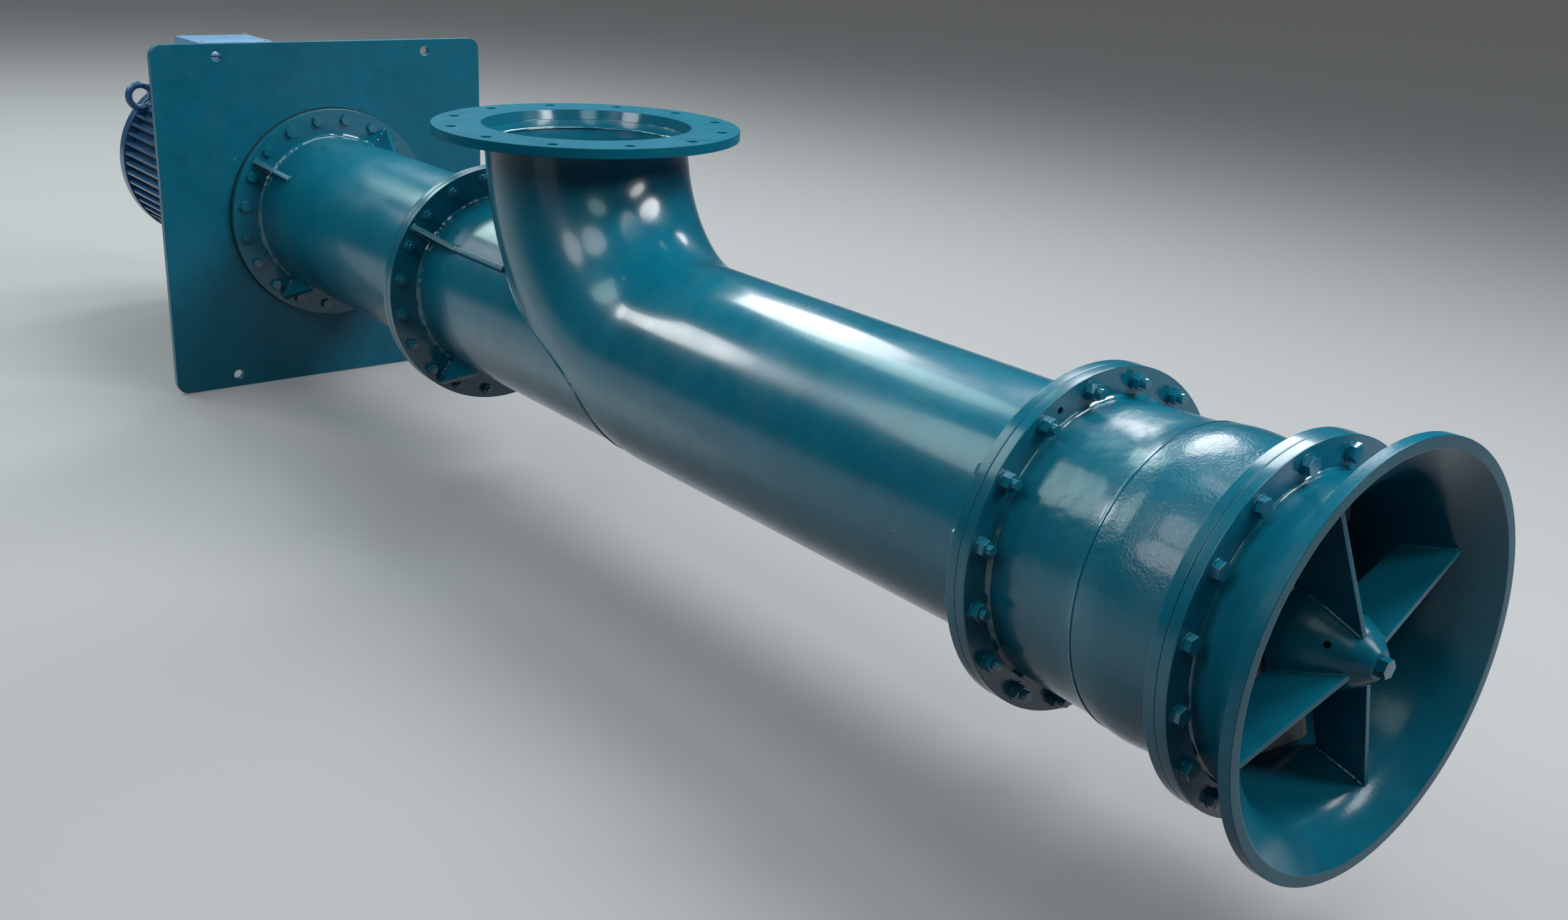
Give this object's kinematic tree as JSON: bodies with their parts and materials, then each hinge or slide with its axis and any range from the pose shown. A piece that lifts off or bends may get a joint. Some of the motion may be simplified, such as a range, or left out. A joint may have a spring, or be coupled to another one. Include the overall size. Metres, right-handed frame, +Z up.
{
  "type": "vertical turbine pump",
  "caption": "Vertical turbine pump with suction bell, bowl, column, flanged discharge elbow, square base plate and a vertical electric motor.",
  "frame": {"origin": "on the shaft axis, in the plane of the base plate's underside", "axes": "+Z up along the shaft toward the motor, +X toward the discharge flange, +Y completes the right-handed set"},
  "size_m": [0.9, 0.9, 4.299],
  "materials": {
    "column_enamel": "gloss",
    "motor_enamel": "satin",
    "box_enamel": "satin",
    "shaft_steel": "machined",
    "impeller_metal": "as cast",
    "gland_brass": "nickelled"
  },
  "bodies": {
    "pump": {"base_plate": "column_enamel", "bearing_hub": "column_enamel", "bell_flange_lower": "column_enamel", "bell_flange_upper": "column_enamel", "bell_rib_1": "column_enamel", "bell_rib_2": "column_enamel", "bell_rib_3": "column_enamel", "bell_rib_4": "column_enamel", "bowl_flange_lower": "column_enamel", "bowl_flange_upper": "column_enamel", "cable_gland_1": "gland_brass", "cable_gland_2": "gland_brass", "diffuser": "column_enamel", "discharge_elbow": "column_enamel", "discharge_flange": "column_enamel", "elbow_flange_lower": "column_enamel", "elbow_flange_upper": "column_enamel", "elbow_stub_pipe": "column_enamel", "hub_plug": "column_enamel", "lower_column_pipe": "column_enamel", "motor_end_shield": "motor_enamel", "motor_eye_bolt_1": "motor_enamel", "motor_eye_bolt_2": "motor_enamel", "motor_fan_cowl": "motor_enamel", "motor_flange_shield": "motor_enamel", "motor_frame": "motor_enamel", "motor_stool": "column_enamel", "pump_bowl": "column_enamel", "shaft_seal_housing": "column_enamel", "shaft_tube": "column_enamel", "stool_foot_ring": "column_enamel", "stool_top_ring": "column_enamel", "suction_bell": "column_enamel", "terminal_box": "box_enamel", "terminal_box_lid": "box_enamel", "top_column_flange": "column_enamel", "upper_column_pipe": "column_enamel"},
    "rotor": {"impeller": "impeller_metal", "line_shaft": "shaft_steel", "shaft_coupling": "shaft_steel", "motor_shaft": "shaft_steel"}
  },
  "joints": [
    {"name": "rotor_spin", "type": "hinge", "parent": "pump", "child": "rotor", "pos_m": [0, 0, 0], "axis": [0, 0, 1], "continuous": true}
  ]
}
